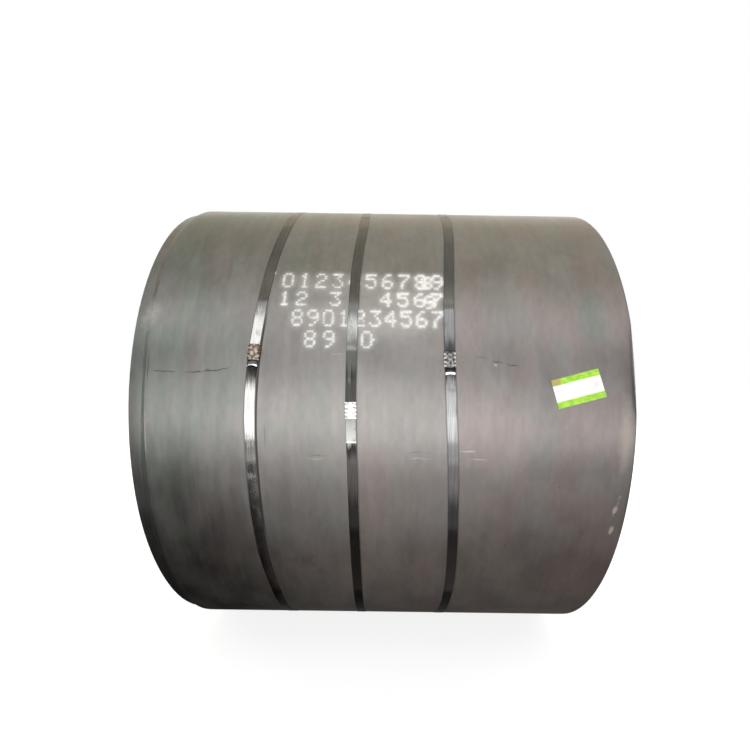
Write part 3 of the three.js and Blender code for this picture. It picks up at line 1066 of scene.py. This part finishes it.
def makeStripEdge():
    # the turns' edges on the coil's two ends: duller, each turn with a tone of its own, and rusting
    # here and there
    material, tree, shader = newMaterial("stripEdge", Metallic=0.9)
    values = stripEdge
    clouds = addClouds(tree, values["clouds"])

    # turns of strip from the tail to this point
    centred = onVector(tree, "SUBTRACT", objectPlace(tree), (0, 0, axisHeight))
    radius = onVector(tree, "LENGTH", onVector(tree, "MULTIPLY", centred, (0, 1, 1)))
    angle = useGroup(tree, unrolled)["Angle"]
    share = calculate(tree, "FRACT", multiply(tree, angle, 1 / 360, -coil["tailAngle"] / 360))
    inwards = multiply(tree, radius, -1 / pitch, stripRadius(0) / pitch)
    whole = calculate(tree, "FLOOR", subtract(tree, inwards, share))
    turned = calculate(tree, "ADD", whole, share)
    tone = addNode(tree, "TexNoise", {"W": turned, "Scale": values["toneScale"], "Detail": 2.0},
                   noise_dimensions="1D").outputs[0]
    clouds["tone"] = remap(tree, tone, *values["toneEase"])

    rust = multiply(tree, clouds["stain"], values["rustStrength"])
    colour = mixColours(tree, rust, values["colour"], values["rust"])
    brightness = pile(tree, clouds, values["brighter"], values["darkest"])
    colour = mixColours(tree, 1.0, colour, brightness, "MULTIPLY")
    feed(tree, shader, Base_Color=colour,
         Roughness=pile(tree, clouds, values["rougher"], values["roughness"]),
         Normal=relief(tree, clouds, values["relief"]))
    return material


# Blued steel, rubbed bright where the tensioner gripped it, with painted highlights, reflections and
# shadows along it: how bright by angle round the coil.
strapFinish = {
    "left": {
        "colour": (1.0, 0.99, 0.97), "roughness": 0.09, "tipHighlight": 0.9,
        "bluingAndPaintedLight": ((100, 0.2), (134, 0.12), (142, 0.2), (148.5, 0.15), (150.5, 0.5), (157, 0.5),
                   (158.5, 0.05), (163, 0.12), (165.5, 0.65), (172, 0.6), (175, 0.35), (180, 0.8),
                   (184.5, 0.9), (188, 0.25), (198, 0.3), (203, 0.1), (220, 0.1)),
    },
    "middle": {
        "colour": (0.99, 1.0, 0.96), "roughness": 0.10, "tipHighlight": 0.3,
        "bluingAndPaintedLight": ((100, 0.25), (130, 0.12), (149.5, 0.12), (151.5, 0.35), (156, 0.2), (160.5, 0.2),
                   (163.5, 0.04), (168, 0.04), (171, 0.15), (175.3, 0.25), (175.6, 0.02), (177, 0.03),
                   (180, 0.12), (184, 0.1), (188, 0.03), (220, 0.03)),
    },
    "right": {
        "colour": (0.98, 0.99, 1.01), "roughness": 0.10, "tipHighlight": 0.9,
        "bluingAndPaintedLight": ((100, 0.25), (130, 0.13), (141, 0.12), (146, 0.2), (154, 0.15), (156, 0.05),
                   (162, 0.03), (163.5, 0.18), (168, 0.25), (175, 0.18), (184, 0.18), (188.5, 0.05),
                   (195, 0.05), (214, 0.08), (220, 0.1)),
    },
}

strapWear = {
    "clouds": {
        "streak": (0.0024, 0.16, 0.3, 0.7, 51.0, 3.0),
        "stain": (0.04, 0.05, 0.52, 0.72, 53.0, 3.0),
        "wave": (0.08, 0.12, 0.0, 1.0, 57.0, 1.0),
    },
    "ragged": {"streak": 2.4},  # degrees by which the ends of the bluing and of the painted light fray
    "streaks": {"streak": -0.28},
    "tipHighlight": (0.0052, 0.0042),  # along the UV map, the last of the upper end, where a highlight is painted
    "stain": (0.08, 0.06, 0.045),
    "stainStrength": 0.25,
    "dirt": (0.035, 0.035, 0.03),  # along both edges
    "dirtStrength": 0.55,
    "middle": 0.23,  # across the UV map
    "rim": (0.195, 0.232),  # from the middle
    "dust": (0.28, 0.25, 0.20),  # towards the top
    "dustStrength": 0.6,
    "dustAngles": (130.0, 113.0),
    "dustRoughness": 0.22,
    "rougher": {"streak": 0.05, "stain": 0.15},
    "relief": {"streak": 0.00001, "wave": 0.0002},
}


def makeStrapSteel(name, values):
    # streaks run along the strap; its UV map counts from edge to edge, and from its upper end
    material, tree, shader = newMaterial("strapSteel" + name.title(), Metallic=1.0,
                                         Specular_Tint=(0.7, 0.7, 0.7, 1))
    wear = strapWear
    clouds = addClouds(tree, wear["clouds"])
    uv = uvPlace(tree)
    angle = useGroup(tree, unrolled)["Angle"]

    # how bright the strap is along it: bluing and rubbed steel, together with painted highlights,
    # reflections and shadows
    low, high = values["bluingAndPaintedLight"][0][0], values["bluingAndPaintedLight"][-1][0]
    ragged = remap(tree, vary(tree, clouds, wear["ragged"], angle), low, high, way="LINEAR")
    knots = [((at - low) / (high - low), bright) for at, bright in values["bluingAndPaintedLight"]]
    bright = addCurve(tree, ragged, knots, "VECTOR")
    # the lifted upper end's last bit gets a painted highlight
    tipHighlight = remap(tree, uv["Y"], *wear["tipHighlight"])
    bright = addNode(tree, "Mix", {0: tipHighlight, 2: bright, 3: values["tipHighlight"]}).outputs[0]
    bright = multiply(tree, bright, vary(tree, clouds, wear["streaks"], 1.0))
    colour = mixColours(tree, 1.0, values["colour"], bright, "MULTIPLY")

    rim = remap(tree, distance(tree, uv["X"], wear["middle"]), *wear["rim"])
    dusty = remap(tree, angle, *wear["dustAngles"])
    for what, mask in (("stain", clouds["stain"]), ("dirt", rim), ("dust", dusty)):
        strength = multiply(tree, mask, wear[what + "Strength"])
        colour = mixColours(tree, strength, colour, wear[what])

    roughness = pile(tree, clouds, wear["rougher"], values["roughness"])
    roughness = multiply(tree, dusty, wear["dustRoughness"], roughness)
    feed(tree, shader, Base_Color=colour, Roughness=roughness,
         Normal=relief(tree, clouds, wear["relief"]))
    return material


# A seal's finish: bare metal, what has grown on it and how much, and the bent tabs' colour, which on
# the right seal is a painted highlight
sealFinish = {
    "left": {"metal": (0.60, 0.53, 0.45), "grown": (0.16, 0.115, 0.08), "share": (0.35, 0.60),
             "tabs": (0.085, 0.06, 0.04), "roughness": 0.40, "patch": 0.0085},
    "middle": {"metal": (0.66, 0.66, 0.65), "grown": (0.28, 0.27, 0.26), "share": (0.52, 0.72),
               "tabs": (0.38, 0.38, 0.38), "roughness": 0.30, "patch": 0.0070},
    # its white tabs are painted highlights
    "right": {"metal": (0.44, 0.44, 0.44), "grown": (0.040, 0.039, 0.038), "share": (0.38, 0.57),
              "tabs": (0.90, 0.90, 0.89), "roughness": 0.30, "patch": 0.0060},
}

sealWear = {
    "pitCloud": (0.0022, 0.0022, 0.35, 0.65, 67.0, 2.0),
    "pit": (0.05, 0.04, 0.03),
    "pitStrength": 0.22,
    "tabEase": (0.15, 0.45),
    "tabStrength": 0.85,
    "metallic": (1.0, 0.4),  # bare, and grown over
    "rougher": {"grown": 0.30},
    "relief": {"pit": -0.00012, "grown": 0.00010},
}


def makeSealSteel(name, values):
    material, tree, shader = newMaterial("sealSteel" + name.title())
    wear = sealWear
    patch = (values["patch"], values["patch"], *values["share"], 61.0, 3.0)
    clouds = addClouds(tree, {"grown": patch, "pit": wear["pitCloud"]})
    grown = clouds["grown"]
    tab = addNode(tree, "Attribute", attribute_name="tab").outputs["Fac"]
    tab = multiply(tree, remap(tree, tab, *wear["tabEase"]), wear["tabStrength"])
    pit = multiply(tree, clouds["pit"], wear["pitStrength"])
    colour = mixColours(tree, grown, values["metal"], values["grown"])
    # the bent tabs take their own colour; the right seal's white tabs are painted highlights
    colour = mixColours(tree, tab, colour, values["tabs"])
    colour = mixColours(tree, pit, colour, wear["pit"])
    feed(tree, shader, Base_Color=colour, Metallic=remap(tree, grown, 0.0, 1.0, *wear["metallic"]),
         Roughness=pile(tree, clouds, wear["rougher"], values["roughness"]),
         Normal=relief(tree, clouds, wear["relief"]))
    return material


labelInk = {
    "paper": (0.93, 0.94, 0.92),
    "green": (0.28, 0.62, 0.04),
    "brightGreen": (0.48, 0.82, 0.06),
    "tan": (0.45, 0.42, 0.12),
    "tanX": (0.24, 0.14),
    "bandShare": 0.22,
    "bandEdge": 0.012,
    "smudge": (0.74, 0.71, 0.78),
    "smudgeStrength": 0.5,
    # on the UV map: its middle, and how far from there it ends and is full
    "smudgePlace": {"X": (0.87, 0.09, 0.02), "Y": (0.50, 0.16, 0.04)},
    "clouds": {
        "ink": (0.020, 0.008, 0.35, 0.65, 71.0, 3.0),
        "crease": (0.03, 0.03, 0.3, 0.7, 73.0, 3.0),
    },
    "relief": {"crease": 0.0003},
}


def makeLabelPaper():
    # a blank label: two printed bands, one corner of the upper one rubbed off
    material, tree, shader = newMaterial("labelPaper", Roughness=0.5)
    values = labelInk
    clouds = addClouds(tree, values["clouds"])
    uv = uvPlace(tree)
    share, edge = values["bandShare"], values["bandEdge"]
    lower = remap(tree, uv["Y"], share + edge, share - edge)
    upper = remap(tree, uv["Y"], 1 - share - edge, 1 - share + edge)
    ink = mixColours(tree, clouds["ink"], values["green"], values["brightGreen"])
    rubbed = multiply(tree, remap(tree, uv["X"], *values["tanX"]), upper)
    ink = mixColours(tree, rubbed, ink, values["tan"])
    colour = mixColours(tree, strongest(tree, [lower, upper]), values["paper"], ink)
    smudge = values["smudgeStrength"]
    for way, (middle, end, full) in values["smudgePlace"].items():
        smudge = multiply(tree, remap(tree, distance(tree, uv[way], middle), end, full), smudge)
    colour = mixColours(tree, smudge, colour, values["smudge"])
    feed(tree, shader, Base_Color=colour, Normal=relief(tree, clouds, values["relief"]))
    return material


stencilWhite = {
    "thick": (0.90, 0.89, 0.86),
    "thin": (0.55, 0.54, 0.52),
    "thinStrength": 0.15,
    "clouds": {"thin": (0.006, 0.006, 0.30, 0.75, 81.0, 3.0)},
    "held": 0.92,
    "heldBy": {"thin": -0.35},
}


def makeStencilWhite():
    # it covers in the strokes, and is a mist round them
    material, tree, shader = newMaterial("stencilPaint", Roughness=0.6)
    values = stencilWhite
    clouds = addClouds(tree, values["clouds"])
    thin = multiply(tree, clouds["thin"], values["thinStrength"])
    cover = addNode(tree, "Attribute", attribute_name="cover").outputs["Fac"]
    held = vary(tree, clouds, values["heldBy"], values["held"])
    feed(tree, shader, Base_Color=mixColours(tree, thin, values["thick"], values["thin"]),
         Alpha=multiply(tree, cover, held))
    return material


print("coil")
makeCoil(makeMillScale(), makeStripEdge())
print("straps and seals")
for name, values in straps.items():
    makeStrap(name, values, makeStrapSteel(name, strapFinish[name]))
    makeSeal(name, values, makeSealSteel(name, sealFinish[name]))
print("label")
makeLabel(makeLabelPaper())
print("stencil")
makeStencil(makeStencilWhite())


camera = {
    "lens": 22.75,
    "elevation": 10,  # above the coil's axis, seen from it
    "distance": 2.3388,
    "x": 0.0223,
    "yaw": -0.0023,
    "pitch": -0.0237,
    "roll": 0.0141,
    "shiftX": -0.0197,
    "shiftY": 0.0686,
}

paleFloor = {
    "size": 60,
    "height": -0.0006,
    "colour": (0.3, 0.3, 0.3, 1),
    "paintedShadowGlow": (0.82, 0.82, 0.82),  # dimmer under the coil, a painted shadow, and from there it fades to white
    "paintedShadowEase": (0.9, 2.4),
}

# Soft panels round the coil that face its axis, each in three parts from left to right: the angles
# they fill and how bright each part is, whatever its size.
panelDistance = 5.0
panelEnds = (-5.5, -1.4, 1.2, 5.5)
panels = {
    "backLow": {"angles": (-10, 20), "brightness": (0.9, 0.9, 0.9), "colour": (1, 0.98, 0.95)},
    "back": {"angles": (20, 45), "brightness": (1.8, 1.5, 1.9), "colour": (1, 0.96, 0.90)},
    "roofBack": {"angles": (45, 62), "brightness": (0.9, 1.05, 1.0), "colour": (1, 0.90, 0.66)},
    "roof": {"angles": (62, 117), "brightness": (0.6, 0.85, 0.85), "colour": (1, 0.95, 0.80)},
    "skylight": {"angles": (117, 137), "brightness": (1.8, 2.0, 1.7), "colour": (1, 1, 1)},
    "aboveFront": {"angles": (137, 154), "brightness": (0.2, 0.75, 0.45), "colour": (1, 1, 1)},
    "front": {"angles": (154, 170), "brightness": (1.55, 2.6, 0.75), "colour": (1, 0.99, 0.98)},
    "frontLow": {"angles": (170, 182), "brightness": (2.2, 3.6, 2.6), "colour": (1, 0.99, 0.98)},
    "low": {"angles": (182, 192), "brightness": (0.3, 1.7, 0.72), "colour": (1, 0.97, 0.95)},
    "foot": {"angles": (192, 225), "brightness": (0.01, 0.93, 0.36), "colour": (1, 0.95, 0.92)},
    "ground": {"angles": (225, 270), "brightness": (0.01, 0.34, 0.25), "colour": (1, 0.85, 0.8)},
    "groundBack": {"angles": (270, 315), "brightness": (0.0, 0.08, 0.12), "colour": (1, 0.9, 0.85)},
    "footBack": {"angles": (315, 350), "brightness": (0.5, 0.6, 0.5), "colour": (1, 0.95, 0.92)},
}

# And one that faces each end
endPanels = {"x": 5.6, "y": 1.0, "height": 2.8, "across": 3.4, "tall": 3.6, "brightness": 2.4}


def addToScene(name, data, spot, turn):
    obj = bpy.data.objects.new(name, data)
    bpy.context.scene.collection.objects.link(obj)
    obj.matrix_world = Matrix.Translation(Vector(spot)) @ turn
    return obj


def makeCamera():
    data = bpy.data.cameras.new("photoCamera")
    data.sensor_width = 36
    data.lens = camera["lens"]
    data.shift_x = camera["shiftX"]
    data.shift_y = camera["shiftY"]
    spot = onAxis(camera["x"], 180 - camera["elevation"], camera["distance"])
    turn = Matrix.Rotation(math.radians(90 - camera["elevation"]), 4, "X")
    for name, axis in (("yaw", "Y"), ("pitch", "X"), ("roll", "Z")):
        turn = turn @ Matrix.Rotation(camera[name], 4, axis)
    bpy.context.scene.camera = addToScene("photoCamera", data, spot, turn)


def makeFloor():
    # nearly white, glowing a little so that only a faint shadow shows, the glow dimmer under the coil
    # as a painted shadow; unseen by the coil's gloss
    deselectAll()
    bpy.ops.mesh.primitive_plane_add(size=paleFloor["size"], location=(0, 0, paleFloor["height"]))
    floor = bpy.context.object
    floor.name = "floor"
    material, tree, shader = newMaterial("paleFloor", Base_Color=paleFloor["colour"], Roughness=0.9,
                                         Emission_Strength=1.0, Specular_IOR_Level=0.0)
    away = remap(tree, onVector(tree, "LENGTH", objectPlace(tree)), *paleFloor["paintedShadowEase"])
    feed(tree, shader, Emission_Color=mixColours(tree, away, paleFloor["paintedShadowGlow"], (1, 1, 1)))
    floor.data.materials.append(material)
    floor.visible_diffuse = False
    floor.visible_glossy = False
    floor.visible_shadow = False


def makePanel(name, spot, turn, wide, tall, brightness, colour):
    data = bpy.data.lights.new(name, "AREA")
    data.shape = "RECTANGLE"
    data.size, data.size_y = wide, tall
    data.energy = math.pi * wide * tall * brightness
    data.color = colour
    addToScene(name, data, spot, turn).visible_camera = False


def makeSidePanel(name, angles, left, right, brightness, colour):
    middle, half = sum(angles) / 2, (angles[1] - angles[0]) / 2
    turn = Matrix.Rotation(math.radians(middle - 90), 4, "X")
    spot = onAxis((left + right) / 2, middle, panelDistance)
    tall = 2 * panelDistance * math.tan(math.radians(half))
    makePanel(name, spot, turn, right - left, tall, brightness, colour)


def makeEndPanel(name, side):
    spot = (side * endPanels["x"], endPanels["y"], endPanels["height"])
    turn = Matrix.Rotation(math.radians(90 * side), 4, "Y")
    makePanel(name, spot, turn, endPanels["tall"], endPanels["across"], endPanels["brightness"],
              (1, 1, 1))


def makeBackdrop():
    # white to the camera, and nearly dark to all else
    world = bpy.data.worlds.new("studio")
    bpy.context.scene.world = world
    world.use_nodes = True
    tree = world.node_tree
    dim = tree.nodes["Background"]
    dim.inputs["Color"].default_value = (1, 1, 1, 1)
    dim.inputs["Strength"].default_value = 0.01
    white = addNode(tree, "Background", {"Color": (1, 1, 1, 1)})
    seen = addNode(tree, "LightPath").outputs["Is Camera Ray"]
    mix = addNode(tree, "MixShader", {0: seen, 1: dim.outputs[0], 2: white.outputs[0]})
    tree.links.new(mix.outputs[0], tree.nodes["World Output"].inputs[0])


print("camera, floor and lights")
makeCamera()
makeFloor()
for name, values in panels.items():
    for i, side in enumerate(("Left", "Middle", "Right")):
        makeSidePanel(name + side, values["angles"], panelEnds[i], panelEnds[i + 1],
                      values["brightness"][i], values["colour"])
makeEndPanel("leftEnd", -1)
makeEndPanel("rightEnd", 1)
makeBackdrop()
bpy.context.scene.view_settings.view_transform = "Standard"
